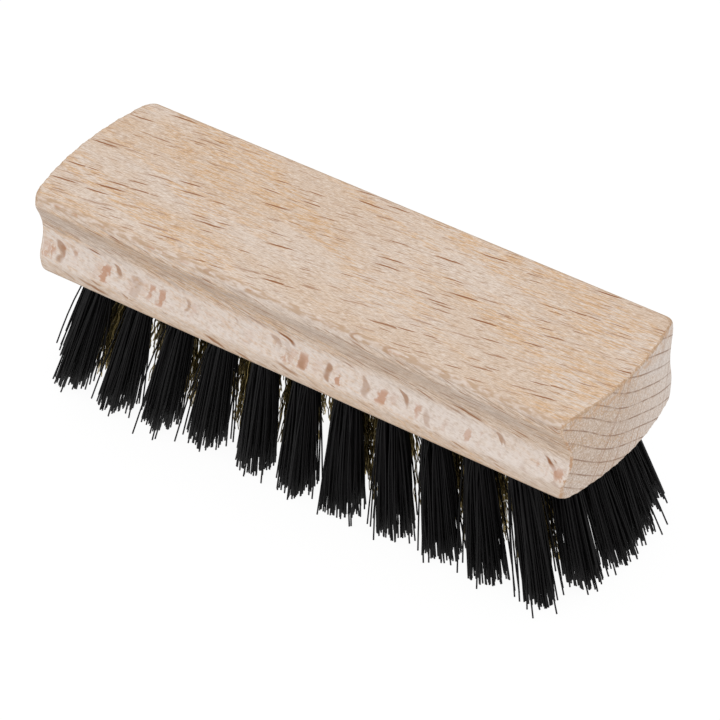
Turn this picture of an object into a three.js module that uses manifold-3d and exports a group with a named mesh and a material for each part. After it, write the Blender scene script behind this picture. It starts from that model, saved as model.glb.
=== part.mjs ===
// A short hand brush: a beech block with a finger cove along both long sides, an outer ring of black
// filament tufts, and three staggered rows of crimped brass wire tufts inside the ring. Every tuft sits
// in a blind hole of its own, drilled from below.
// Millimetres. X runs along the block, Y across it, and Z = 0 is the plane of the bristle tips.
import * as THREE from "three";
import { mergeVertices } from "three/addons/utils/BufferGeometryUtils.js";
import Module from "manifold-3d";

// The block.
const BLOCK_LENGTH = 120;
const BLOCK_WIDTH = 36;
const BLOCK_THICKNESS = 17.7;
const END_BOW = 2.6; // each end bulges this far past its corners
const CORNER_RADIUS = 0.8; // seen from above
const TOP_EDGE_RADIUS = 1.2;
const BOTTOM_EDGE_RADIUS = 1.2;

// The cove in each long side. Depths are measured down from the top face, insets in from the block's
// full width, and the lip is the bulge below the cove. The back is cut less deeply than the front.
const COVE_START_DEPTH = 2.2;
const FRONT_COVE = { inset: 2.5, depth: 9.4, lipInset: 0.45, lipDepth: 14.4 };
const BACK_COVE = { inset: 1.3, depth: 7.8, lipInset: 0, lipDepth: 13.4 };
const COVE_TOP_EASE = 0.16; // how far each end of a cove's curve runs straight, as a share of its height
const COVE_MIDDLE_EASE = 0.45;
const COVE_LIP_EASE = 0.2;

// The tufts.
const FREE_LENGTH = 25; // from the block's underside to the tips
const ROW_PITCH = 9.24; // between neighbours in one row
const OUTER_ROW_Y = 12.9;
const INNER_ROW_Y = 6.5;
const END_COLUMN_X = 49.8;
const OUTER_ROW_COUNT = 11;
const END_COLUMN_COUNT = 3;
const INNER_ROW_COUNT = 10;
const MIDDLE_ROW_COUNT = 9;
const TIP_SPREAD_X = 1.15; // a tip stands this many times as far from the block's middle as its root
const TIP_SPREAD_Y = 1.295;
const HOLE_DEPTH = 8;
const DRILL_POINT_DEPTH = 1.3; // the cone that the drill leaves beyond the straight hole
const ROOT_CLEARANCE = 0.3; // between a tuft and its hole
const FLARE_LENGTH = 3; // below the hole's mouth, where a tuft opens out quickly
const BLACK_TUFT = { holeRadius: 2.2, flareRadius: 2.7, tipRadius: 3.8, tipHeight: 0 };
const BRASS_TUFT = { holeRadius: 2, flareRadius: 2.3, tipRadius: 3.1, tipHeight: 1 };

// Facets.
const CURVE_SEGMENTS = 6; // on each arc or curve of an outline
const TUFT_SIDES = 12;

const BEECH = new THREE.MeshStandardMaterial({ color: 0xdcc6ac, roughness: 0.75, metalness: 0 });
const BLACK_FILAMENT = new THREE.MeshStandardMaterial({ color: 0x121214, roughness: 0.45, metalness: 0 });
const BRASS_WIRE = new THREE.MeshStandardMaterial({ color: 0xa8873f, roughness: 0.35, metalness: 1 });

const wasm = await Module();
wasm.setup();

// A closed geometry as a manifold-3d solid.
function toSolid(geometry) {
  geometry.deleteAttribute("normal");
  geometry.deleteAttribute("uv");
  const merged = mergeVertices(geometry);
  return new wasm.Manifold(
    new wasm.Mesh({
      numProp: 3,
      vertProperties: merged.getAttribute("position").array,
      triVerts: new Uint32Array(merged.getIndex().array),
    }),
  );
}

// A manifold-3d solid as a geometry.
function toGeometry(solid) {
  const { vertProperties, triVerts } = solid.getMesh();
  const geometry = new THREE.BufferGeometry();
  geometry.setAttribute("position", new THREE.BufferAttribute(vertProperties, 3));
  geometry.setIndex(new THREE.BufferAttribute(triVerts, 1));
  geometry.computeVertexNormals();
  return geometry;
}

// The block seen from above: two straight sides, two bowed ends and four rounded corners.
function planOutline() {
  const halfWidth = BLOCK_WIDTH / 2;
  const endRadius = (halfWidth ** 2 + END_BOW ** 2) / (2 * END_BOW);
  const endCentre = BLOCK_LENGTH / 2 - endRadius;
  const cornerY = halfWidth - CORNER_RADIUS;
  const cornerAngle = Math.asin(cornerY / (endRadius - CORNER_RADIUS));
  const cornerX = endCentre + (endRadius - CORNER_RADIUS) * Math.cos(cornerAngle);
  const outline = new THREE.Shape();
  outline.moveTo(-cornerX, -halfWidth);
  outline.absarc(cornerX, -cornerY, CORNER_RADIUS, -Math.PI / 2, -cornerAngle);
  outline.absarc(endCentre, 0, endRadius, -cornerAngle, cornerAngle);
  outline.absarc(cornerX, cornerY, CORNER_RADIUS, cornerAngle, Math.PI / 2);
  outline.absarc(-cornerX, cornerY, CORNER_RADIUS, Math.PI / 2, Math.PI - cornerAngle);
  outline.absarc(-endCentre, 0, endRadius, Math.PI - cornerAngle, Math.PI + cornerAngle);
  outline.absarc(-cornerX, -cornerY, CORNER_RADIUS, Math.PI + cornerAngle, (3 * Math.PI) / 2);
  return outline;
}

// One side of the block cut across, from the middle of the underside up to the middle of the top.
function sideProfile(cove) {
  const topHalf = BLOCK_WIDTH / 2;
  const coveHalf = topHalf - cove.inset;
  const lipHalf = topHalf - cove.lipInset;
  const coveHeight = BLOCK_THICKNESS - cove.depth;
  const lipHeight = BLOCK_THICKNESS - cove.lipDepth;
  const startHeight = BLOCK_THICKNESS - COVE_START_DEPTH;
  const upperRise = startHeight - coveHeight;
  const lowerRise = coveHeight - lipHeight;
  const side = new THREE.Path();
  side.moveTo(0, 0);
  side.lineTo(lipHalf - BOTTOM_EDGE_RADIUS, 0);
  side.absarc(lipHalf - BOTTOM_EDGE_RADIUS, BOTTOM_EDGE_RADIUS, BOTTOM_EDGE_RADIUS, -Math.PI / 2, 0);
  side.lineTo(lipHalf, lipHeight);
  side.bezierCurveTo(
    lipHalf,
    lipHeight + COVE_LIP_EASE * lowerRise,
    coveHalf,
    coveHeight - COVE_MIDDLE_EASE * lowerRise,
    coveHalf,
    coveHeight,
  );
  side.bezierCurveTo(
    coveHalf,
    coveHeight + COVE_MIDDLE_EASE * upperRise,
    topHalf,
    startHeight - COVE_TOP_EASE * upperRise,
    topHalf,
    startHeight,
  );
  const topEdgeY = topHalf - TOP_EDGE_RADIUS;
  const topEdgeZ = BLOCK_THICKNESS - TOP_EDGE_RADIUS;
  side.absarc(topEdgeY, topEdgeZ, TOP_EDGE_RADIUS, 0, Math.PI / 2);
  side.lineTo(0, BLOCK_THICKNESS);
  return side.getPoints(CURVE_SEGMENTS);
}

// The block cut across: the back rises from the underside, and the front falls back to it.
function crossSection() {
  const rising = sideProfile(BACK_COVE);
  const falling = sideProfile(FRONT_COVE).slice(1, -1).reverse();
  return new THREE.Shape([...rising, ...falling.map((p) => new THREE.Vector2(-p.x, p.y))]);
}

// The block before drilling: its cross-section run along X, cut to its outline from above.
function undrilledBlock() {
  const margin = 1;
  const bar = new THREE.ExtrudeGeometry(crossSection(), {
    depth: BLOCK_LENGTH + 2 * margin,
    bevelEnabled: false,
  });
  bar.translate(0, 0, -BLOCK_LENGTH / 2 - margin);
  const [x, y, z] = [0, 1, 2].map((i) => new THREE.Vector3().setComponent(i, 1));
  bar.applyMatrix4(new THREE.Matrix4().makeBasis(y, z, x));
  const cutter = new THREE.ExtrudeGeometry(planOutline(), {
    depth: BLOCK_THICKNESS + 2 * margin,
    bevelEnabled: false,
    curveSegments: CURVE_SEGMENTS,
  });
  cutter.translate(0, 0, -margin);
  return toSolid(bar).intersect(toSolid(cutter));
}

// A round solid on a line that leans outwards with its distance from the block's middle. The profile's
// points are [radius, height above the underside], from the lowest to the highest.
function leaningLathe(profile, place) {
  const points = profile.map(([radius, height]) => new THREE.Vector2(radius, height));
  const geometry = new THREE.LatheGeometry(points, TUFT_SIDES);
  geometry.rotateX(Math.PI / 2);
  const leanX = (place.x * (TIP_SPREAD_X - 1)) / FREE_LENGTH;
  const leanY = (place.y * (TIP_SPREAD_Y - 1)) / FREE_LENGTH;
  geometry.applyMatrix4(new THREE.Matrix4().makeShear(0, 0, 0, 0, -leanX, -leanY));
  return geometry;
}

function holeSolid(place, kind) {
  const belowMouth = -1;
  const hole = leaningLathe(
    [
      [0, belowMouth],
      [kind.holeRadius, belowMouth],
      [kind.holeRadius, HOLE_DEPTH],
      [0, HOLE_DEPTH + DRILL_POINT_DEPTH],
    ],
    place,
  );
  return toSolid(hole.translate(place.x, place.y, 0));
}

function tuftMesh(place, kind, material) {
  const rootRadius = kind.holeRadius - ROOT_CLEARANCE;
  const rootTop = HOLE_DEPTH - ROOT_CLEARANCE;
  const tip = kind.tipHeight - FREE_LENGTH;
  const geometry = leaningLathe(
    [
      [0, tip],
      [kind.tipRadius, tip],
      [kind.flareRadius, -FLARE_LENGTH],
      [rootRadius, 0],
      [rootRadius, rootTop],
      [0, rootTop],
    ],
    place,
  );
  const mesh = new THREE.Mesh(geometry, material);
  mesh.name = place.name;
  mesh.position.set(place.x, place.y, FREE_LENGTH);
  return mesh;
}

// Tufts in a line along X, named from the left end.
function row(name, count, y) {
  return Array.from({ length: count }, (_, i) => ({
    name: `${name}_${String(i + 1).padStart(2, "0")}`,
    x: (i - (count - 1) / 2) * ROW_PITCH,
    y,
  }));
}

// The tufts of one end, between its two corners, named from the front.
function endColumn(name, x) {
  return Array.from({ length: END_COLUMN_COUNT }, (_, i) => ({
    name: `${name}_${i + 1}`,
    x,
    y: (i - (END_COLUMN_COUNT - 1) / 2) * INNER_ROW_Y,
  }));
}

const ring = [
  ...row("bristle_tuft_front", OUTER_ROW_COUNT, -OUTER_ROW_Y),
  ...row("bristle_tuft_back", OUTER_ROW_COUNT, OUTER_ROW_Y),
  ...endColumn("bristle_tuft_left_end", -END_COLUMN_X),
  ...endColumn("bristle_tuft_right_end", END_COLUMN_X),
];
const field = [
  ...row("brass_tuft_front", INNER_ROW_COUNT, -INNER_ROW_Y),
  ...row("brass_tuft_middle", MIDDLE_ROW_COUNT, 0),
  ...row("brass_tuft_back", INNER_ROW_COUNT, INNER_ROW_Y),
];

function drilledBlock() {
  let block = undrilledBlock();
  for (const place of ring) block = block.subtract(holeSolid(place, BLACK_TUFT));
  for (const place of field) block = block.subtract(holeSolid(place, BRASS_TUFT));
  const mesh = new THREE.Mesh(toGeometry(block), BEECH);
  mesh.name = "block";
  mesh.position.z = FREE_LENGTH;
  return mesh;
}

const bristleRing = new THREE.Group();
for (const place of ring) bristleRing.add(tuftMesh(place, BLACK_TUFT, BLACK_FILAMENT));

const brassField = new THREE.Group();
for (const place of field) brassField.add(tuftMesh(place, BRASS_TUFT, BRASS_WIRE));

const brush = new THREE.Group();
brush.add(drilledBlock(), bristleRing, brassField);

export default brush;
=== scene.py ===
import math

import bpy
import numpy as np
from mathutils import Matrix, Vector


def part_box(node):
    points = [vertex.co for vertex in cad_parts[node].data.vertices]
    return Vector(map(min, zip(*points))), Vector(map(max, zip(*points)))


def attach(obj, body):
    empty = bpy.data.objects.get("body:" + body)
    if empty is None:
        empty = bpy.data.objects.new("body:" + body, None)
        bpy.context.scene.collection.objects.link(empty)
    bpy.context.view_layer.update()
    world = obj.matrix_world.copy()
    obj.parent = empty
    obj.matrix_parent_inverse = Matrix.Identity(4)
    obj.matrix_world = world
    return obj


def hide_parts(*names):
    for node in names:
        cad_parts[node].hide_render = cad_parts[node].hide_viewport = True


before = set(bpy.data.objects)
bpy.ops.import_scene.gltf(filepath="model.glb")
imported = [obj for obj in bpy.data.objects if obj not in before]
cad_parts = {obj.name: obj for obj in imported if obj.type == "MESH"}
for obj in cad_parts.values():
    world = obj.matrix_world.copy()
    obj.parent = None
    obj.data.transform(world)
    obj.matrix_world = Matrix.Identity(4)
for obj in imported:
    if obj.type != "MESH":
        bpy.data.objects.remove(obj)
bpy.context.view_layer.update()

MM = 0.001
BODY = "root"

# The block. Its length, width and heights come from the frame.
block_low, block_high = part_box("block")
HALF_LENGTH = block_high.x
HALF_WIDTH = block_high.y
UNDERSIDE = block_low.z
TOP = block_high.z
END_BOW = 2.6 * MM
CORNER_RADIUS = 0.8 * MM
TOP_EDGE_RADIUS = 1.2 * MM
BOTTOM_EDGE_RADIUS = 1.2 * MM
END_EDGE_RADIUS = 0.45 * MM
END_EDGE_WEAR = 0.45  # how much that radius comes and goes, as a share of it
END_EDGE_WAVES = ((0.5, 1.3, 0), (0.5, 3.1, 1), (0.4, 7.7, 2))  # (size, turn for each mm, phase)
CORNER_WEAR = 1.5 * MM  # how much larger the corner radius is at the top and at the underside
CORNER_WEAR_REACH = 4 * MM  # how far from the top or the underside that wear reaches

# The cove in each long side, as in the CAD: insets from the full width and depths below the top.
COVE_START_DEPTH = 2.2 * MM
FRONT_COVE = {"inset": 2.5 * MM, "depth": 9.4 * MM, "lip_inset": 0.45 * MM, "lip_depth": 14.4 * MM}
BACK_COVE = {"inset": 1.3 * MM, "depth": 7.8 * MM, "lip_inset": 0, "lip_depth": 13.4 * MM}
COVE_TOP_EASE = 0.16
COVE_MIDDLE_EASE = 0.45
COVE_LIP_EASE = 0.2

# How finely the block is drawn.
PROFILE_STEPS = 60
EDGE_LEVELS = 13
FACE_LEVELS = 36
SIDE_STEPS = 60
CORNER_STEPS = 8
END_STEPS = 36
CAP_MARGIN = 0.5 * MM  # a narrow rim round the top face and the underside, which keeps them flat
SMOOTH_ANGLE = math.radians(35)

# The holes.
HOLE_DEPTH = 8 * MM
DRILL_POINT_DEPTH = 1.3 * MM
DRILL_CLEARANCE = 1 * MM
HOLE_SIDES = 24

# The two kinds of tuft. A hairpin is one filament folded in two, so it shows two tips.
#   sides, leg_stations: how finely each filament is drawn, round it and along each of its legs
#   flare_power: how early the filaments spread out below the hole, earlier when smaller
#   spread: how far they spread, as a share of the tip radius in the CAD
#   tuft_sway, tip_jitter: how far all the tips together, and each tip by itself, stray sideways
#   stray_share, stray_reach: how many filaments stick out, and how far
#   clump_pull: how strongly the tips gather in clumps, from 0 to 1
#   bow: how far a filament bends to one side on its way
#   trim_spread, short_share, short_by: how uneven the trim is, how many are short, and by how much
#   crimp, crimp_pitch, crimp_scatter: size and length of the waves, and how much they differ
BLACK = {
    "hole_radius": 2.2 * MM,
    "wire_radius": 0.16 * MM,
    "hairpins": 70,
    "sides": 5,
    "leg_stations": 7,
    "flare_power": 0.65,
    "spread": 1,
    "tuft_sway": 0.45 * MM,
    "tip_jitter": 0.5 * MM,
    "stray_share": 0.13,
    "stray_reach": 3.2 * MM,
    "clump_pull": 0.5,
    "bow": 0.3 * MM,
    "trim_spread": 0.7 * MM,
    "short_share": 0.12,
    "short_by": 3.5 * MM,
    "crimp": 0,
    "crimp_pitch": 1,
    "crimp_scatter": 0,
}
BRASS = {
    "hole_radius": 2 * MM,
    "wire_radius": 0.125 * MM,
    "hairpins": 80,
    "sides": 4,
    "leg_stations": 27,
    "flare_power": 0.6,
    "spread": 1.2,
    "tuft_sway": 0.6 * MM,
    "tip_jitter": 0.8 * MM,
    "stray_share": 0.15,
    "stray_reach": 3 * MM,
    "clump_pull": 0.3,
    "bow": 0.4 * MM,
    "trim_spread": 1.2 * MM,
    "short_share": 0.1,
    "short_by": 4 * MM,
    "crimp": 0.2 * MM,
    "crimp_pitch": 4.2 * MM,
    "crimp_scatter": 0.45,
}
CLUMPS = 9
CLUMP_MIDDLE = 0.1  # how near a clump may be to the tuft's axis, as a share of its area
STRAY_LEAST = 0.3  # the least that a stray sticks out, as a share of the most
ROOT_FILL = 0.97  # how much of the hole's radius the filaments fill
MIN_TRIM = 0.1 * MM
MAX_TRIM_SPREADS = 4
CRIMP_START = 2 * MM  # how far below the hole's mouth the crimps reach their full size
BEND_STATIONS = 5
BEND_START = 5.6 * MM  # height of the anchor's upper edge above the hole's mouth
BEND_RISE = 0.6  # rise of the fold, as a share of its half width
ANCHOR_THICKNESS = 0.35 * MM
ANCHOR_HEIGHT = 1.8 * MM
ANCHOR_BITE = 0.4 * MM  # how far each end of an anchor cuts into the wood
ANCHOR_CHAMFER = 0.4  # as a share of its half thickness
ANCHOR_TWIST = math.radians(8)
SEED = 20

# The camera: the direction it looks from, its distance from the block and its lens.
CAMERA_AZIMUTH = math.radians(36.16)
CAMERA_ELEVATION = math.radians(39.05)
CAMERA_ROLL = math.radians(-1.01)
CAMERA_DISTANCE = 0.765
CAMERA_LENS = 214.7
CAMERA_RIGHT = 2.2 * MM
CAMERA_DOWN = 18.8 * MM

# The studio: an even pale surrounding and two large soft lamps aimed at the block.
FLOOR_SIZE = 6
WORLD_STRENGTH = 0.78
LAMPS = {
    "overhead": {"place": (-0.15, 0.1, 0.9), "size": 0.9, "power": 2.3},
    "front_right": {"place": (0.35, -0.6, 0.75), "size": 0.6, "power": 2},
}


# Meshes


def add_mesh(name, vertices, faces, smooth=True):
    mesh = bpy.data.meshes.new(name)
    mesh.from_pydata([tuple(v) for v in vertices], [], faces)
    mesh.polygons.foreach_set("use_smooth", [smooth] * len(faces))
    mesh.update()
    piece = bpy.data.objects.new(name, mesh)
    bpy.context.scene.collection.objects.link(piece)
    return piece


def bezier(points, steps):
    """Points on a cubic Bezier curve, both ends included."""
    a, b, c, d = (np.array(p, float) for p in points)
    t = np.linspace(0, 1, steps + 1)[:, None]
    return a * (1 - t) ** 3 + 3 * b * t * (1 - t) ** 2 + 3 * c * t**2 * (1 - t) + d * t**3


def arc(centre, radius, start, end, steps):
    angles = np.linspace(start, end, steps + 1)
    return np.stack([centre[0] + radius * np.cos(angles), centre[1] + radius * np.sin(angles)], 1)


def side_profile(cove):
    """(half width, height) up one side of the block, from the underside to the top face."""
    lip = HALF_WIDTH - cove["lip_inset"]
    deepest = HALF_WIDTH - cove["inset"]
    lip_height = TOP - cove["lip_depth"]
    deepest_height = TOP - cove["depth"]
    start_height = TOP - COVE_START_DEPTH
    lower = deepest_height - lip_height
    upper = start_height - deepest_height
    bottom = (lip - BOTTOM_EDGE_RADIUS, UNDERSIDE + BOTTOM_EDGE_RADIUS)
    top = (HALF_WIDTH - TOP_EDGE_RADIUS, TOP - TOP_EDGE_RADIUS)
    below = [
        (lip, lip_height),
        (lip, lip_height + COVE_LIP_EASE * lower),
        (deepest, deepest_height - COVE_MIDDLE_EASE * lower),
        (deepest, deepest_height),
    ]
    above = [
        (deepest, deepest_height),
        (deepest, deepest_height + COVE_MIDDLE_EASE * upper),
        (HALF_WIDTH, start_height - COVE_TOP_EASE * upper),
        (HALF_WIDTH, start_height),
    ]
    return np.concatenate([
        arc(bottom, BOTTOM_EDGE_RADIUS, -math.pi / 2, 0, PROFILE_STEPS),
        bezier(below, PROFILE_STEPS),
        bezier(above, PROFILE_STEPS),
        arc(top, TOP_EDGE_RADIUS, 0, math.pi / 2, PROFILE_STEPS),
    ])


def level_heights():
    """The heights at which the block's outline is drawn, closer together round its edges."""
    quarter = np.linspace(0, math.pi / 2, EDGE_LEVELS)
    low = UNDERSIDE + BOTTOM_EDGE_RADIUS * (1 - np.cos(quarter))
    high = TOP - TOP_EDGE_RADIUS * (1 - np.sin(quarter))
    return np.concatenate([low, np.linspace(low[-1], high[0], FACE_LEVELS)[1:-1], high])


def corner_radius(height):
    """The radius of the block's corners, seen from above, at one height."""
    from_edge = min(TOP - height, height - UNDERSIDE)
    return CORNER_RADIUS + CORNER_WEAR * max(0, 1 - from_edge / CORNER_WEAR_REACH) ** 2


def quarter_outline(half_width, radius):
    """A quarter of the block's outline with its normals, from the middle of a side to that of an end."""
    end_radius = (HALF_WIDTH**2 + END_BOW**2) / (2 * END_BOW)
    end_centre = HALF_LENGTH - end_radius
    inner = end_radius - radius
    corner_y = half_width - radius
    corner_angle = math.asin(corner_y / inner)
    corner_x = end_centre + inner * math.cos(corner_angle)
    side_x = np.linspace(0, corner_x, SIDE_STEPS + 1)[:-1]
    side = np.stack([side_x, np.full(SIDE_STEPS, half_width)], 1)
    corner = arc((corner_x, corner_y), radius, math.pi / 2, corner_angle, CORNER_STEPS)[:-1]
    end = arc((end_centre, 0), end_radius, corner_angle, 0, END_STEPS)
    angles = np.concatenate([
        np.full(SIDE_STEPS, math.pi / 2),
        np.linspace(math.pi / 2, corner_angle, CORNER_STEPS + 1)[:-1],
        np.linspace(corner_angle, 0, END_STEPS + 1),
    ])
    return np.concatenate([side, corner, end]), np.stack([np.cos(angles), np.sin(angles)], 1)


def mirrored_outline(front, back):
    """Joins a front and a back quarter, and their mirror images in X, into one closed outline."""
    right = np.concatenate([back, (front * [1, -1])[-2::-1]])
    left = (right * [-1, 1])[-2:0:-1]
    return np.concatenate([right, left])


def end_wear(points, height):
    """How far the worn edges of the end faces draw in at the points of one outline, in metres."""
    upper = height > (TOP + UNDERSIDE) / 2
    across = points[:, 1] / MM + 7 * np.sign(points[:, 0]) + 11 * upper  # so that no two edges match
    wave = sum(size * np.sin(turn * across + phase) for size, turn, phase in END_EDGE_WAVES)
    radius = END_EDGE_RADIUS * (1 + END_EDGE_WEAR * wave)
    over = np.maximum(height - (TOP - radius), UNDERSIDE + radius - height)
    over = np.clip(over, 0, radius)
    return radius - np.sqrt(radius**2 - over**2)


def solid_block():
    """The block before drilling, as outlines stacked from the underside to the top face."""
    sides = [side_profile(cove) for cove in (FRONT_COVE, BACK_COVE)]
    heights = level_heights()
    margins = [CAP_MARGIN] + [0] * len(heights) + [CAP_MARGIN]
    heights = [heights[0], *heights, heights[-1]]
    vertices, faces = [], []
    for height, margin in zip(heights, margins):
        widths = [np.interp(height, side[:, 1], side[:, 0]) for side in sides]
        quarters = [quarter_outline(width, corner_radius(height)) for width in widths]
        points = mirrored_outline(quarters[0][0], quarters[1][0])
        normals = mirrored_outline(quarters[0][1], quarters[1][1])
        drawn_in = end_wear(points, height) * np.abs(normals[:, 0]) + margin
        points = points - normals * drawn_in[:, None]
        vertices += [(x, y, height) for x, y in points]
    around = len(vertices) // len(heights)
    for level in range(len(heights) - 1):
        low, high = level * around, (level + 1) * around
        for i in range(around):
            j = (i + 1) % around
            faces.append((low + j, low + i, high + i, high + j))
    faces.append(tuple(range(around)))
    faces.append(tuple(reversed(range(len(vertices) - around, len(vertices)))))
    return add_mesh("beech_block", vertices, faces)


def drill_mesh(tufts):
    """One closed cutter for each hole, leaning as its tuft leans."""
    turn = np.linspace(0, 2 * math.pi, HOLE_SIDES, endpoint=False)
    circle = np.stack([np.cos(turn), np.sin(turn)], 1)
    vertices, faces = [], []
    for tuft in tufts:
        start = len(vertices)
        for height in (-DRILL_CLEARANCE, HOLE_DEPTH):
            middle = tuft["mouth"][:2] - tuft["lean"] * height
            ring = middle + circle * tuft["kind"]["hole_radius"]
            vertices += [(x, y, UNDERSIDE + height) for x, y in ring]
        point = HOLE_DEPTH + DRILL_POINT_DEPTH
        vertices.append((*(tuft["mouth"][:2] - tuft["lean"] * point), UNDERSIDE + point))
        upper, peak = start + HOLE_SIDES, start + 2 * HOLE_SIDES
        for i in range(HOLE_SIDES):
            j = (i + 1) % HOLE_SIDES
            faces.append((start + i, start + j, upper + j, upper + i))
            faces.append((upper + i, upper + j, peak))
        faces.append(tuple(reversed(range(start, start + HOLE_SIDES))))
    return add_mesh("drills", vertices, faces)


def drilled_block(tufts):
    piece = solid_block()
    drills = drill_mesh(tufts)
    cut = piece.modifiers.new("holes", "BOOLEAN")
    cut.operation = "DIFFERENCE"
    cut.solver = "EXACT"
    cut.object = drills
    graph = bpy.context.evaluated_depsgraph_get()
    drilled = bpy.data.meshes.new_from_object(piece.evaluated_get(graph))
    piece.modifiers.clear()
    piece.data = drilled
    bpy.data.objects.remove(drills)
    drilled.polygons.foreach_set("use_smooth", [True] * len(drilled.polygons))
    drilled.set_sharp_from_angle(angle=SMOOTH_ANGLE)
    return piece


# Tufts


def middle_of_ring(points):
    return (points.min(0) + points.max(0)) / 2


def read_tuft(node, kind):
    """Where a tuft leaves the block, how it leans and how wide it is at its tip, from its CAD node."""
    points = np.array([v.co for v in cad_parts[node].data.vertices])
    heights = points[:, 2]
    tolerance = 0.01 * MM
    tip_ring = points[heights < heights.min() + tolerance]
    root = middle_of_ring(points[heights > heights.max() - tolerance])
    tip = middle_of_ring(tip_ring)
    lean = (tip - root)[:2] / (root[2] - tip[2])
    mouth = np.array([*(root[:2] + lean * (root[2] - UNDERSIDE)), UNDERSIDE])
    return {
        "node": node,
        "kind": kind,
        "mouth": mouth,
        "lean": lean,
        "length": UNDERSIDE - tip[2],
        "tip_radius": np.ptp(tip_ring[:, 0]) / 2,
    }


def root_places(kind):
    """Where the filaments of one half of a tuft stand in the hole, as (across, along) the anchor."""
    count = 2 * kind["hairpins"]
    golden = math.pi * (3 - math.sqrt(5))
    i = np.arange(count)
    reach = np.sqrt((i + 0.5) / count) * (kind["hole_radius"] - kind["wire_radius"])
    places = np.stack([reach * np.cos(i * golden), reach * np.sin(i * golden)], 1)
    places = places[places[:, 0] > 0]
    keep_out = ANCHOR_THICKNESS / 2 + kind["wire_radius"]
    room = 1 - keep_out / kind["hole_radius"]
    places[:, 0] = keep_out + places[:, 0] * room
    within = ROOT_FILL * kind["hole_radius"] / np.linalg.norm(places, axis=1)
    return places * np.minimum(1, within)[:, None]


def tip_places(roots, tuft, random):
    """Where those filaments end, spread over the tuft's tip in loose clumps, with a few strays."""
    kind = tuft["kind"]
    spread = roots / kind["hole_radius"]
    angle = random.uniform(0, 2 * math.pi, CLUMPS)
    reach = np.sqrt(random.uniform(CLUMP_MIDDLE, 1, CLUMPS))
    clumps = np.stack([reach * np.cos(angle), reach * np.sin(angle)], 1)
    distances = np.linalg.norm(spread[:, None] - clumps[None], axis=2)
    nearest = clumps[distances.argmin(1)]
    spread = spread + (nearest - spread) * kind["clump_pull"] * random.uniform(0, 1, (len(roots), 1))
    tips = spread * tuft["tip_radius"] * kind["spread"]
    tips += random.normal(0, kind["tip_jitter"], roots.shape)
    strays = random.uniform(0, 1, len(roots)) < kind["stray_share"]
    away = random.uniform(0, 2 * math.pi, len(roots))
    push = random.uniform(STRAY_LEAST, 1, len(roots)) * kind["stray_reach"] * strays
    return tips + np.stack([np.cos(away), np.sin(away)], 1) * push[:, None]


def free_lengths(tuft, count, random):
    """How far below the block each filament ends: nearly all at the trim, a few shorter."""
    kind = tuft["kind"]
    trim = np.abs(random.normal(0, kind["trim_spread"], count))
    trim = np.clip(trim, MIN_TRIM, MAX_TRIM_SPREADS * kind["trim_spread"])
    short = random.uniform(0, 1, count) < kind["short_share"]
    return tuft["length"] - trim - short * random.uniform(0, kind["short_by"], count)


def add_sideways(line, shift, angle):
    line[..., 0] += shift * np.cos(angle)
    line[..., 1] += shift * np.sin(angle)


def leg_lines(roots, tuft, lay, random):
    """Centre lines from tip to fold for one half of a tuft, with the hole's mouth at the origin.
    lay holds what the filaments of the tuft have in common: its sway, and how its crimps run."""
    kind = tuft["kind"]
    count = len(roots)
    tips = tip_places(roots, tuft, random) + lay["sway"]
    free = free_lengths(tuft, count, random)[:, None]
    share = np.linspace(1, 0, kind["leg_stations"])
    height = np.concatenate([-free * share, np.full((count, 1), BEND_START)], 1)
    out = np.clip(-height / free, 0, 1)
    opened = (out ** kind["flare_power"])[..., None]
    line = roots[:, None] * (1 - opened) + tips[:, None] * opened

    bow_angle = random.uniform(0, 2 * math.pi, (count, 1))
    bow = random.normal(0, kind["bow"], (count, 1)) * np.sin(out * math.pi)
    add_sideways(line, bow, bow_angle)

    crimp_angle = lay["crimp_angle"] + random.normal(0, kind["crimp_scatter"], (count, 1))
    phase = lay["crimp_phase"] + random.normal(0, kind["crimp_scatter"], (count, 1))
    wave = np.sin(2 * math.pi * height / kind["crimp_pitch"] + phase)
    add_sideways(line, wave * kind["crimp"] * np.clip(-height / CRIMP_START, 0, 1), crimp_angle)
    return np.concatenate([line, height[..., None]], 2)


def hairpin_lines(tuft, random):
    """Centre lines of whole hairpins: tip, hole, fold over the anchor, hole, tip."""
    roots = root_places(tuft["kind"])
    lay = {
        "sway": random.normal(0, tuft["kind"]["tuft_sway"], 2),
        "crimp_angle": random.uniform(0, 2 * math.pi),
        "crimp_phase": random.uniform(0, 2 * math.pi),
    }
    near = leg_lines(roots, tuft, lay, random)
    far = leg_lines(roots * [-1, 1], tuft, lay, random)
    turn = np.linspace(0, math.pi, BEND_STATIONS + 2)[1:-1]
    fold = np.empty((len(roots), BEND_STATIONS, 3))
    fold[..., 0] = roots[:, :1] * np.cos(turn)
    fold[..., 1] = roots[:, 1:]
    fold[..., 2] = BEND_START + roots[:, :1] * BEND_RISE * np.sin(turn)
    return np.concatenate([near, fold, far[:, ::-1]], 1)


def place_lines(lines, tuft, twist):
    """Turns a tuft's lines about its own axis, leans them and moves them to the hole's mouth."""
    c, s = math.cos(twist), math.sin(twist)
    x, y, z = lines[..., 0], lines[..., 1], lines[..., 2]
    lean = tuft["lean"]
    placed = np.stack([c * x - s * y - lean[0] * z, s * x + c * y - lean[1] * z, z], -1)
    return placed + tuft["mouth"]


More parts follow.
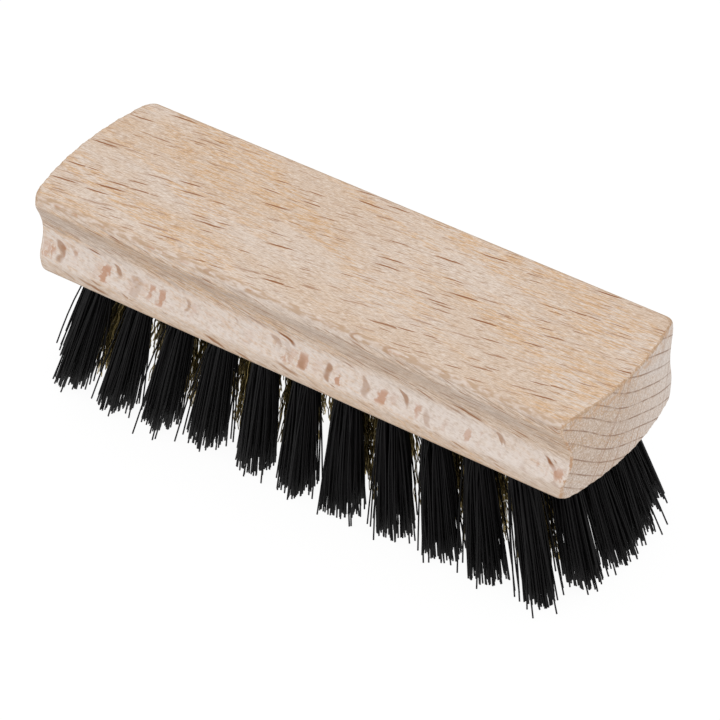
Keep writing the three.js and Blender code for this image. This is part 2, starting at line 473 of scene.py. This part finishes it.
def tube_mesh(name, lines, radius, sides, across):
    """Closed tubes along the lines. across is a direction that no line runs along."""
    count, stations, _ = lines.shape
    tangent = np.gradient(lines, axis=1)
    tangent /= np.linalg.norm(tangent, axis=2, keepdims=True)
    first = across - (tangent @ across)[..., None] * tangent
    first /= np.linalg.norm(first, axis=2, keepdims=True)
    second = np.cross(tangent, first)
    turn = np.linspace(0, 2 * math.pi, sides, endpoint=False)
    ring = first[:, :, None] * np.cos(turn)[:, None] + second[:, :, None] * np.sin(turn)[:, None]
    vertices = (lines[:, :, None] + ring * radius).reshape(-1, 3)
    index = np.arange(count * stations * sides).reshape(count, stations, sides)
    after = np.roll(index, -1, axis=2)
    quads = np.stack([index[:, :-1], after[:, :-1], after[:, 1:], index[:, 1:]], -1).reshape(-1, 4)
    caps = index[:, 0, ::-1].tolist() + index[:, -1].tolist()
    piece = add_mesh(name, vertices.tolist(), quads.tolist() + caps)
    smooth = [True] * len(quads) + [False] * len(caps)
    piece.data.polygons.foreach_set("use_smooth", smooth)
    return piece


def add_point_value(piece, name, values):
    attribute = piece.data.attributes.new(name, "FLOAT", "POINT")
    attribute.data.foreach_set("value", np.asarray(values, np.float32).ravel())


def tuft_piece(tuft, twist, random):
    """A tuft of single filaments, with a shade for each filament and a mark on its cut tips."""
    kind = tuft["kind"]
    lines = place_lines(hairpin_lines(tuft, random), tuft, twist)
    across = np.array([-math.sin(twist), math.cos(twist), 0])
    piece = tube_mesh(tuft["node"] + "_filaments", lines, kind["wire_radius"], kind["sides"], across)
    count, stations, _ = lines.shape
    shade = np.broadcast_to(random.uniform(0, 1, (count, 1, 1)), (count, stations, kind["sides"]))
    add_point_value(piece, "shade", shade)
    end = np.zeros((count, stations, kind["sides"]))
    end[:, [0, -1]] = 1
    add_point_value(piece, "cut_end", end)
    return piece


def anchor_piece(tuft, twist):
    """The flat wire that holds the fold: a strip with its four long edges chamfered."""
    half_length = tuft["kind"]["hole_radius"] + ANCHOR_BITE
    half_thickness = ANCHOR_THICKNESS / 2
    chamfer = half_thickness * ANCHOR_CHAMFER
    low, high = BEND_START - ANCHOR_HEIGHT, BEND_START
    section = [
        (-half_thickness, low + chamfer),
        (-half_thickness + chamfer, low),
        (half_thickness - chamfer, low),
        (half_thickness, low + chamfer),
        (half_thickness, high - chamfer),
        (half_thickness - chamfer, high),
        (-half_thickness + chamfer, high),
        (-half_thickness, high - chamfer),
    ]
    sides = len(section)
    ends = [[(x, y, z) for x, z in section] for y in (-half_length, half_length)]
    vertices = place_lines(np.array(ends), tuft, twist).reshape(-1, 3)
    faces = [(i, (i + 1) % sides, sides + (i + 1) % sides, sides + i) for i in range(sides)]
    faces += [tuple(reversed(range(sides))), tuple(range(sides, 2 * sides))]
    return add_mesh("anchor_of_" + tuft["node"], vertices, faces, smooth=False)


# Materials


class Nodes:
    """A short way to wire up one material."""

    def __init__(self, name):
        self.material = bpy.data.materials.new(name)
        self.material.use_nodes = True
        self.tree = self.material.node_tree
        self.shader = self.tree.nodes["Principled BSDF"]

    def put(self, socket, value):
        if isinstance(value, bpy.types.NodeSocket):
            self.tree.links.new(value, socket)
        else:
            socket.default_value = value

    def node(self, kind, *inputs, **settings):
        made = self.tree.nodes.new("ShaderNode" + kind)
        for key, value in settings.items():
            setattr(made, key, value)
        for socket, value in zip(made.inputs, inputs):
            self.put(socket, value)
        return made

    def math(self, operation, *inputs):
        return self.node("Math", *inputs, operation=operation).outputs[0]

    def times(self, product, *factors):
        """The product of all the values."""
        for factor in factors:
            product = self.math("MULTIPLY", product, factor)
        return product

    def vector(self, operation, *inputs):
        made = self.node("VectorMath", *inputs, operation=operation)
        scalar = operation in ("DOT_PRODUCT", "LENGTH")
        return made.outputs["Value" if scalar else "Vector"]

    def combine(self, x, y, z):
        return self.node("CombineXYZ", x, y, z).outputs[0]

    def separate(self, vector):
        return self.node("SeparateXYZ", vector).outputs

    def noise(self, vector, detail=2, roughness=0.5):
        made = self.node("TexNoise")
        self.put(made.inputs["Vector"], vector)
        self.put(made.inputs["Scale"], 1)
        self.put(made.inputs["Detail"], detail)
        self.put(made.inputs["Roughness"], roughness)
        return made.outputs["Fac"]

    def ramp(self, value, low, high, to_low=0, to_high=1):
        """A smooth step from low to high."""
        made = self.node("MapRange", interpolation_type="SMOOTHSTEP")
        for name, number in (
            ("Value", value),
            ("From Min", low),
            ("From Max", high),
            ("To Min", to_low),
            ("To Max", to_high),
        ):
            self.put(made.inputs[name], number)
        return made.outputs[0]

    def mix(self, share, first, second):
        made = self.node("Mix", data_type="RGBA", blend_type="MIX")
        self.put(made.inputs["Factor"], share)
        self.put(made.inputs[6], (*first, 1) if isinstance(first, tuple) else first)
        self.put(made.inputs[7], (*second, 1) if isinstance(second, tuple) else second)
        return made.outputs[2]

    def tint(self, colour, share, strength, tone):
        """Mixes a tone into the colour where share is high."""
        return self.mix(self.times(share, strength), colour, tone)

    def bump(self, height, distance, strength):
        made = self.node("Bump")
        self.put(made.inputs["Strength"], strength)
        self.put(made.inputs["Distance"], distance)
        self.put(made.inputs["Height"], height)
        self.put(self.shader.inputs["Normal"], made.outputs[0])

    def finish(self, colour, roughness, **constants):
        """Feeds the shader and sets its constants. Returns the material."""
        self.put(self.shader.inputs["Base Color"], colour)
        self.put(self.shader.inputs["Roughness"], roughness)
        for name, value in constants.items():
            self.shader.inputs[name.replace("_", " ")].default_value = value
        return self.material


# The tree that the block was cut from, in millimetres in the block's frame. The pith is its middle.
GRAIN = Vector((1, 0.03, -0.19)).normalized()
PITH = Vector((60, 55, 126))
PITH_DISTANCE = 107  # roughly, from the block
OUTWARDS = (PITH.dot(GRAIN) * GRAIN - PITH).normalized()  # across the grain, from the pith to the block
ROUND_TRUNK = GRAIN.cross(OUTWARDS)
RAY_WOBBLE = 0.9  # how far the rays wander round the trunk
RING_WIDTH = 2.5
RING_DRIFT = 2  # how far the rings wander, in rings
RINGS_FACE = Vector((0, 0.469, 0.883))  # across the rings, which are nearly flat in this block
ACROSS_RINGS = RINGS_FACE - RINGS_FACE.dot(GRAIN) * GRAIN
LAYER_FLATNESS = 6  # how much thinner the areas of colour are across the rings than along them

# Noises in the wood: grain size along each axis in millimetres, detail and roughness.
NOISES = {
    "wobble": ((8, 8, 5), 2, 0.5),
    "areas": ((34, 24, 24), 3, 0.5),
    "patches": ((40, 26, 20), 1, 0.5),
    "streaks": ((4.5, 0.45, 0.45), 3, 0.65),
    "fibres": ((4, 0.24, 0.24), 3, 0.7),
    "fine fibres": ((1.1, 0.14, 0.14), 2, 0.6),
    "cove grain": ((8, 0.42, 0.42), 3, 0.65),
    "stipple": ((0.4, 0.4, 0.4), 2, 0.7),
    "ring drift": ((60, 30, 30), 1, 0.5),
    "ring breaks": ((9, 3, 1), 2, 0.5),
    "clouds": ((0.9, 0.5, 0.7), 2, 0.5),
    "ragged": ((0.9, 0.9, 0.9), 2, 0.5),
    "grime": ((1.3, 1.3, 1.3), 3, 0.5),
    "wear": ((2.5, 0.6, 0.6), 3, 0.5),
    "saw marks": ((0.25, 0.25, 0.25), 2, 0.5),
}

# Marks scattered in the wood, each a flat spindle. Spacing and half size are (along the grain, round the
# trunk, out from the pith) in millimetres. Softness is the share of a mark over which it fades, and
# weights says how a random number sets its weight, as (from, to, lightest, heaviest).
FLECKS = {
    "spacing": (2.4, 0.9, 9),
    "half_size": (1.3, 0.55, 7),
    "softness": 0.45,
    "weights": (0.1, 0.95, 0.12, 0.8),
}
FAINT_RAYS = {
    "spacing": (3.4, 0.7, 12),
    "half_size": (1.9, 0.14, 7),
    "softness": 0.5,
    "weights": (0, 1, 0.15, 0.8),
}
BOLD_RAYS = {
    "spacing": (7, 1.5, 26),
    "half_size": (4.2, 0.24, 16),
    "softness": 0.5,
    "weights": (0, 0.8, 0.35, 1),
}
END_RAYS = {
    "spacing": (30, 1.5, 9),
    "half_size": (18, 0.12, 6.5),
    "softness": 0.6,
    "weights": (0.1, 0.9, 0.3, 0.7),
}
SMALLEST_MARK = 0.45  # as a share of the largest
FLECK_RAGGEDNESS = 2.4  # how far a fleck's edge wanders along the grain, in millimetres

# The colours of the beech: two for its ground, then layers with the strength of each.
TAN_GROUND = (0.60, 0.46, 0.35)
PALE_GROUND = (0.64, 0.53, 0.445)
LAYERS = {
    "tan streaks": (0.8, (0.60, 0.35, 0.155)),
    "dark fibres": (0.5, (0.40, 0.27, 0.18)),
    "light fibres": (0.3, (0.78, 0.69, 0.61)),
    "dark fine fibres": (0.55, (0.34, 0.225, 0.15)),
    "light fine fibres": (0.5, (0.80, 0.74, 0.69)),
    "cove grain": (0.6, (0.30, 0.20, 0.14)),
    # painted shade: the front of each end is darker, as if shaded
    "painted end shade": (1, (0.39, 0.32, 0.28)),
    # painted light on the back of each end, partly the wood's own paler tone
    "pale end and painted light": (0.6, (0.72, 0.66, 0.62)),
    "dark stipple": (0.3, (0.33, 0.215, 0.15)),
    "light stipple": (0.5, (0.74, 0.67, 0.62)),
    "rings": (1, (0.26, 0.155, 0.10)),
    "pale clouds": (0.68, (0.76, 0.685, 0.64)),
    "flecks": (1, (0.48, 0.245, 0.145)),
    "faint rays": (1, (0.33, 0.165, 0.08)),
    "end rays": (1, (0.27, 0.155, 0.095)),
    "end stain": (0.7, (0.42, 0.21, 0.09)),
    "warm end": (0.7, (0.52, 0.31, 0.17)),
    "worn edge": (0.8, (0.43, 0.28, 0.17)),
    "lip wear": (0.35, (0.40, 0.28, 0.185)),
    # painted shade on faces that look down under the cove's overhang
    "painted cove shade": (0.4, (0.38, 0.305, 0.25)),
}
BOLD_RAY_EDGE_ON = (0.27, 0.11, 0.04)
BOLD_RAY_FLAT = (0.40, 0.20, 0.12)
BEECH_BUMP = 0.07 * MM
BEECH_BUMP_STRENGTH = 0.7
TOP_MM = TOP / MM
UNDERSIDE_MM = UNDERSIDE / MM


def wood_noise(nodes, place, name):
    size, detail, roughness = NOISES[name]
    return nodes.noise(nodes.vector("DIVIDE", place, size), detail, roughness)


def paint(nodes, colour, share, layer):
    return nodes.tint(colour, share, *LAYERS[layer])


def marks(nodes, tree, kind):
    """The mask of one kind of mark, each mark with a random size and weight."""
    scaled = nodes.vector("DIVIDE", tree, kind["spacing"])
    scatter = nodes.node("TexVoronoi", feature="F1", voronoi_dimensions="3D")
    nodes.put(scatter.inputs["Vector"], scaled)
    nodes.put(scatter.inputs["Scale"], 1)
    offset = nodes.vector("SUBTRACT", scaled, scatter.outputs["Position"])
    stretch = tuple(s / h for s, h in zip(kind["spacing"], kind["half_size"]))
    distance = nodes.vector("LENGTH", nodes.vector("MULTIPLY", offset, stretch))
    chance = nodes.node("SeparateColor", scatter.outputs["Color"]).outputs
    reach = nodes.math("DIVIDE", distance, nodes.ramp(chance[0], 0, 1, SMALLEST_MARK, 1))
    mask = nodes.ramp(reach, 1, 1 - kind["softness"])
    return nodes.times(mask, nodes.ramp(chance[1], *kind["weights"]))


def tree_places(nodes, place, normal):
    """Places in the tree, in millimetres, as (along the grain, round the trunk, out from the pith), and
    how nearly the surface lies along the rays there, from 0 to 1."""
    from_pith = nodes.vector("SUBTRACT", place, tuple(PITH))
    along = nodes.vector("DOT_PRODUCT", from_pith, tuple(GRAIN))
    out = nodes.vector("DOT_PRODUCT", from_pith, tuple(OUTWARDS))
    side = nodes.vector("DOT_PRODUCT", from_pith, tuple(ROUND_TRUNK))
    radius = nodes.vector("LENGTH", nodes.combine(out, side, 0))
    turn = nodes.times(nodes.math("ARCTAN2", side, out), PITH_DISTANCE)
    wobble = wood_noise(nodes, nodes.combine(along, turn, radius), "wobble")
    turn = nodes.math("ADD", turn, nodes.times(nodes.math("SUBTRACT", wobble, 0.5), RAY_WOBBLE))
    normal_out = nodes.vector("DOT_PRODUCT", normal, tuple(OUTWARDS))
    normal_round = nodes.vector("DOT_PRODUCT", normal, tuple(ROUND_TRUNK))
    facing = nodes.math("SUBTRACT", nodes.times(normal_round, out), nodes.times(normal_out, side))
    facing = nodes.math("ABSOLUTE", nodes.math("DIVIDE", facing, radius))
    return nodes.combine(along, turn, radius), facing


def fibre_places(nodes, place, normal):
    """Places turned so that X runs along the fibres as they show in each face of the block."""
    x, y, z = nodes.separate(place)
    _, normal_y, normal_z = nodes.separate(nodes.vector("ABSOLUTE", normal))
    slant_y = nodes.times(x, nodes.ramp(normal_y, 0.5, 0.95, GRAIN.y, 0))
    slant_z = nodes.times(x, nodes.ramp(normal_z, 0.5, 0.95, GRAIN.z, 0))
    return nodes.combine(x, nodes.math("SUBTRACT", y, slant_y), nodes.math("SUBTRACT", z, slant_z))


def wood_places(nodes):
    """Where each point of the surface is in the wood, and masks for how the surface cuts it."""
    place = nodes.vector("MULTIPLY", nodes.node("TexCoord").outputs["Object"], (1000, 1000, 1000))
    normal = nodes.node("NewGeometry").outputs["Normal"]
    x, y, z = nodes.separate(place)
    upward = nodes.separate(normal)[2]
    tree, facing = tree_places(nodes, place, normal)
    across = nodes.math("ABSOLUTE", nodes.vector("DOT_PRODUCT", normal, (1, 0, 0)))
    end_cut = nodes.ramp(across, 0.8, 0.95)
    along_grain = nodes.math("SUBTRACT", 1, end_cut)
    above_cove = nodes.ramp(z, TOP_MM - 4, TOP_MM - 3)
    above_lip = nodes.ramp(z, TOP_MM - 13, TOP_MM - 8)
    return {
        "place": place,
        "x": x,
        "y": y,
        "z": z,
        "tree": tree,
        "fibre": fibre_places(nodes, place, normal),
        "across_rings": nodes.vector("DOT_PRODUCT", place, tuple(ACROSS_RINGS)),
        "upward": upward,
        "quarter_cut": nodes.ramp(facing, 0.965, 0.99),
        "nearly_quarter_cut": nodes.ramp(facing, 0.7, 0.97),
        "end_cut": end_cut,
        "along_grain": along_grain,
        "end_edge": nodes.times(nodes.ramp(across, 0.25, 0.45), nodes.ramp(across, 0.92, 0.82)),
        "long_edge": nodes.times(nodes.ramp(upward, 0, 0.3), nodes.ramp(upward, 0.998, 0.97), above_cove),
        "in_cove": nodes.times(nodes.ramp(upward, 0.5, 0.1), above_lip, along_grain),
    }


def beech_ground(nodes, wood):
    """Pale wood with pinker and yellower areas, and tan streaks that gather in patches."""
    layers = nodes.combine(wood["x"], wood["y"], nodes.times(wood["across_rings"], LAYER_FLATNESS))
    areas = wood_noise(nodes, layers, "areas")
    colour = nodes.mix(nodes.ramp(areas, 0.36, 0.64), TAN_GROUND, PALE_GROUND)
    patches = nodes.ramp(wood_noise(nodes, layers, "patches"), 0.4, 0.58, 0.15, 1)
    streaks = nodes.ramp(wood_noise(nodes, wood["fibre"], "streaks"), 0.42, 0.6)
    return paint(nodes, colour, nodes.times(patches, streaks), "tan streaks")


def beech_fibres(nodes, wood, colour, fibres, fine):
    """Light and dark streaks along the grain, finer ones, and long dark ones in the cove."""
    colour = paint(nodes, colour, nodes.ramp(fibres, 0.5, 0.66), "dark fibres")
    colour = paint(nodes, colour, nodes.ramp(fibres, 0.48, 0.36), "light fibres")
    colour = paint(nodes, colour, nodes.ramp(fine, 0.5, 0.66), "dark fine fibres")
    colour = paint(nodes, colour, nodes.ramp(fine, 0.48, 0.34), "light fine fibres")
    grain = nodes.ramp(wood_noise(nodes, wood["fibre"], "cove grain"), 0.52, 0.6)
    return paint(nodes, colour, nodes.times(grain, wood["in_cove"]), "cove grain")


def beech_end_grain(nodes, wood, colour):
    """The ends are painted darker in front and paler behind, a painted shade and painted light as if lit
    from the back, and partly a paler, greyer tone of the wood behind. They are stippled with cut vessels.
    """
    end_cut, y = wood["end_cut"], wood["y"]
    stipple = wood_noise(nodes, wood["place"], "stipple")
    # Painted shade in front and painted light behind, as if lit from the back; the paler back is partly
    # the wood's own tone.
    colour = paint(nodes, colour, nodes.times(end_cut, nodes.ramp(y, 14, -2, 0, 0.25)), "painted end shade")
    colour = paint(nodes, colour, nodes.times(end_cut, nodes.ramp(y, -8, 14)), "pale end and painted light")
    dark = nodes.times(end_cut, nodes.ramp(stipple, 0.5, 0.62))
    colour = paint(nodes, colour, dark, "dark stipple")
    light = nodes.times(end_cut, nodes.ramp(stipple, 0.48, 0.38))
    return paint(nodes, colour, light, "light stipple")


def beech_rings(nodes, wood, colour):
    """Growth rings: thin dark lines, faint on the faces along the grain."""
    drift = nodes.times(wood_noise(nodes, wood["place"], "ring drift"), RING_DRIFT)
    ring = nodes.math("ADD", nodes.math("DIVIDE", wood["across_rings"], RING_WIDTH), drift)
    ring = nodes.math("FRACT", ring)
    line = nodes.times(nodes.ramp(ring, 0.82, 0.95), nodes.ramp(ring, 1, 0.96))
    broken = nodes.ramp(wood_noise(nodes, wood["tree"], "ring breaks"), 0.35, 0.6, 0.4, 1)
    weight = nodes.times(nodes.ramp(wood["end_cut"], 0, 1, 0.1, 1), broken)
    return paint(nodes, colour, nodes.times(line, weight), "rings")


def beech_flecks(nodes, wood, colour):
    """Where the rays lie open, the wood is paler in soft blotches between brown flecks."""
    clouds = nodes.ramp(wood_noise(nodes, wood["tree"], "clouds"), 0.35, 0.6, 0.5, 1)
    colour = paint(nodes, colour, nodes.times(wood["nearly_quarter_cut"], clouds), "pale clouds")
    ragged = nodes.math("SUBTRACT", wood_noise(nodes, wood["place"], "ragged"), 0.5)
    shift = nodes.combine(nodes.times(ragged, FLECK_RAGGEDNESS), 0, 0)
    flecks = marks(nodes, nodes.vector("ADD", wood["tree"], shift), FLECKS)
    return paint(nodes, colour, nodes.times(flecks, wood["quarter_cut"]), "flecks")


def bold_rays(nodes, wood):
    """The few large rays, sanded away on the long top edges and weaker on the sides and ends."""
    return nodes.times(
        marks(nodes, wood["tree"], BOLD_RAYS),
        nodes.math("SUBTRACT", 1, wood["long_edge"]),
        nodes.ramp(wood["quarter_cut"], 0, 1, 1, 0.4),
        nodes.ramp(wood["end_cut"], 0, 1, 1, 0.35),
    )


def beech_rays(nodes, wood, colour, bold):
    """Rays: many faint ones and fewer bold ones, darkest edge on, and fine long ones on the ends."""
    colour = paint(nodes, colour, marks(nodes, wood["tree"], FAINT_RAYS), "faint rays")
    tone = nodes.mix(wood["quarter_cut"], BOLD_RAY_EDGE_ON, BOLD_RAY_FLAT)
    colour = nodes.mix(bold, colour, tone)
    end_rays = nodes.times(marks(nodes, wood["tree"], END_RAYS), wood["end_cut"])
    return paint(nodes, colour, end_rays, "end rays")


def beech_wear_and_painted_shade(nodes, wood, colour):
    """Handled and sanded edges have gone orange brown in places, and faces that look down under the cove's
    overhang get a painted shade.
    """
    end_cut, z = wood["end_cut"], wood["z"]
    grime = wood_noise(nodes, wood["place"], "grime")
    stain = nodes.times(wood["end_edge"], nodes.ramp(grime, 0.48, 0.6))
    colour = paint(nodes, colour, stain, "end stain")
    warm = nodes.times(end_cut, nodes.ramp(z, TOP_MM - 4, TOP_MM), nodes.ramp(grime, 0.46, 0.58))
    colour = paint(nodes, colour, warm, "warm end")
    wear = wood_noise(nodes, wood["place"], "wear")
    worn = nodes.times(wood["long_edge"], nodes.ramp(wear, 0.4, 0.6, 0.25, 1))
    colour = paint(nodes, colour, worn, "worn edge")
    patchy = nodes.ramp(wear, 0.35, 0.6, 0.5, 1)
    low = nodes.ramp(z, UNDERSIDE_MM + 4.5, UNDERSIDE_MM + 1.5)
    colour = paint(nodes, colour, nodes.times(low, patchy, wood["along_grain"]), "lip wear")
    # Painted shade: faces that look downwards, under the cove's overhang, are painted darker.
    under = nodes.ramp(wood["upward"], -0.12, -0.5)
    return paint(nodes, colour, nodes.times(under, patchy), "painted cove shade")


def beech_material():
    nodes = Nodes("raw_beech")
    wood = wood_places(nodes)
    fibres = wood_noise(nodes, wood["fibre"], "fibres")
    fine = wood_noise(nodes, wood["fibre"], "fine fibres")
    bold = bold_rays(nodes, wood)
    colour = beech_ground(nodes, wood)
    colour = beech_fibres(nodes, wood, colour, fibres, fine)
    colour = beech_end_grain(nodes, wood, colour)
    colour = beech_rings(nodes, wood, colour)
    colour = beech_flecks(nodes, wood, colour)
    colour = beech_rays(nodes, wood, colour, bold)
    colour = beech_wear_and_painted_shade(nodes, wood, colour)

    dullness = nodes.math("ADD", nodes.times(bold, 0.1), nodes.times(fibres, 0.16))
    roughness = nodes.math("ADD", dullness, 0.56)
    height = nodes.math("ADD", nodes.times(fibres, -0.5), nodes.times(fine, -0.5))
    height = nodes.math("SUBTRACT", height, nodes.times(bold, 0.25))
    saw_marks = nodes.times(wood_noise(nodes, wood["place"], "saw marks"), wood["end_cut"], 1.2)
    nodes.bump(nodes.math("ADD", height, saw_marks), BEECH_BUMP, BEECH_BUMP_STRENGTH)
    return nodes.finish(colour, roughness, Specular_IOR_Level=0.3)


def filament_value(nodes, name):
    return nodes.node("Attribute", attribute_name=name).outputs["Fac"]


def surface_noise(nodes, cycles, detail=2):
    """Noise with so many cycles a metre along each axis."""
    place = nodes.node("TexCoord").outputs["Object"]
    return nodes.noise(nodes.vector("MULTIPLY", place, cycles), detail)


def filament_material():
    """Black polymer filament: slightly different blacks, scuffed lengthwise, dull grey at the cut ends."""
    nodes = Nodes("black_filament")
    scuffs = surface_noise(nodes, (3000, 3000, 400))
    cut_end = nodes.ramp(filament_value(nodes, "cut_end"), 0.8, 1)
    colour = nodes.mix(filament_value(nodes, "shade"), (0.0022, 0.0019, 0.0021), (0.0060, 0.0054, 0.0058))
    colour = nodes.tint(colour, nodes.ramp(scuffs, 0.55, 0.8), 0.5, (0.012, 0.011, 0.0115))
    colour = nodes.tint(colour, cut_end, 0.5, (0.016, 0.0145, 0.015))
    return nodes.finish(colour, nodes.ramp(scuffs, 0.3, 0.8, 0.38, 0.6), Specular_IOR_Level=0.12)


def brass_material():
    """Fine brass wire with painted shade: most wires a dark brass for the shade under the block, a few a
    bright brass as if lit. It is a little tarnished in bands and brighter at the cut ends.
    """
    nodes = Nodes("brass_wire")
    tarnish = surface_noise(nodes, (500, 500, 250), 3)
    cut_end = nodes.ramp(filament_value(nodes, "cut_end"), 0.8, 1)
    # Painted shade and painted light: most wires take a dark brass that stands in for shade under the
    # block, a few a bright brass that stands in for light.
    painted_lit_share = nodes.ramp(filament_value(nodes, "shade"), 0.4, 1)
    colour = nodes.mix(painted_lit_share, (0.08, 0.059, 0.019), (0.50, 0.39, 0.17))
    colour = nodes.tint(colour, nodes.ramp(tarnish, 0.45, 0.65), 0.6, (0.06, 0.045, 0.016))
    colour = nodes.tint(colour, cut_end, 0.5, (0.90, 0.78, 0.46))
    return nodes.finish(colour, nodes.ramp(tarnish, 0.3, 0.75, 0.28, 0.5), Metallic=1)


def anchor_material():
    """Zinc-coated flat wire."""
    nodes = Nodes("anchor_wire")
    spangle = surface_noise(nodes, (900, 900, 900))
    colour = nodes.mix(nodes.ramp(spangle, 0.3, 0.7), (0.42, 0.43, 0.45), (0.58, 0.59, 0.60))
    return nodes.finish(colour, nodes.ramp(spangle, 0.3, 0.7, 0.35, 0.5), Metallic=1)


def floor_material():
    """A pale floor that is nearly white in its own light, so that only soft shadows show on it."""
    nodes = Nodes("pale_floor")
    return nodes.finish(
        (0.08, 0.08, 0.08, 1),
        0.9,
        Specular_IOR_Level=0.1,
        Emission_Color=(1, 1, 1, 1),
        Emission_Strength=0.93,
    )


# Assembly


def finish_piece(piece, material):
    piece.data.materials.clear()
    piece.data.materials.append(material)
    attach(piece, BODY)


def build_tufts(tufts, material, anchor_wire, first_seed):
    for number, tuft in enumerate(tufts):
        random = np.random.default_rng(first_seed + number)
        twist = random.normal(0, ANCHOR_TWIST)
        filaments = tuft_piece(tuft, twist, random)
        finish_piece(filaments, material)
        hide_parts(tuft["node"])
        finish_piece(anchor_piece(tuft, twist), anchor_wire)


def build_brush():
    names = sorted(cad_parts)
    black = [read_tuft(name, BLACK) for name in names if name.startswith("bristle_tuft")]
    brass = [read_tuft(name, BRASS) for name in names if name.startswith("brass_tuft")]
    block = drilled_block(black + brass)
    finish_piece(block, beech_material())
    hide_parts("block")
    anchor_wire = anchor_material()
    build_tufts(black, filament_material(), anchor_wire, SEED)
    build_tufts(brass, brass_material(), anchor_wire, SEED + len(black))


def add_floor():
    half = FLOOR_SIZE / 2
    corners = [(-half, -half, 0), (half, -half, 0), (half, half, 0), (-half, half, 0)]
    floor = add_mesh("floor", corners, [(0, 1, 2, 3)], smooth=False)
    floor.data.materials.append(floor_material())


def add_lamp(name, place, size, power):
    light = bpy.data.lights.new(name, "AREA")
    light.shape = "SQUARE"
    light.size = size
    light.energy = power
    lamp = bpy.data.objects.new(name, light)
    lamp.location = place
    towards_block = Vector((0, 0, TOP / 2)) - Vector(place)
    lamp.rotation_euler = towards_block.to_track_quat("-Z", "Y").to_euler()
    bpy.context.scene.collection.objects.link(lamp)


def add_lights():
    world = bpy.data.worlds.new("studio")
    world.use_nodes = True
    background = world.node_tree.nodes["Background"]
    background.inputs["Color"].default_value = (1, 1, 1, 1)
    background.inputs["Strength"].default_value = WORLD_STRENGTH
    bpy.context.scene.world = world
    for name, lamp in LAMPS.items():
        add_lamp(name, **lamp)
    bpy.context.scene.view_settings.view_transform = "Standard"


def add_camera():
    a, e, roll = CAMERA_AZIMUTH, CAMERA_ELEVATION, CAMERA_ROLL
    back = Vector((math.sin(a) * math.cos(e), -math.cos(a) * math.cos(e), math.sin(e)))
    level = Vector((math.cos(a), math.sin(a), 0))
    upright = back.cross(level)
    right = math.cos(roll) * level + math.sin(roll) * upright
    up = math.cos(roll) * upright - math.sin(roll) * level
    place = Vector((0, 0, TOP)) + back * CAMERA_DISTANCE + right * CAMERA_RIGHT - up * CAMERA_DOWN
    camera = bpy.data.objects.new("camera", bpy.data.cameras.new("camera"))
    camera.data.lens = CAMERA_LENS
    camera.data.clip_start = 0.01
    camera.data.clip_end = 20
    camera.matrix_world = Matrix((right, up, back)).transposed().to_4x4()
    camera.location = place
    bpy.context.scene.collection.objects.link(camera)
    bpy.context.scene.camera = camera


add_camera()
add_lights()
add_floor()
build_brush()
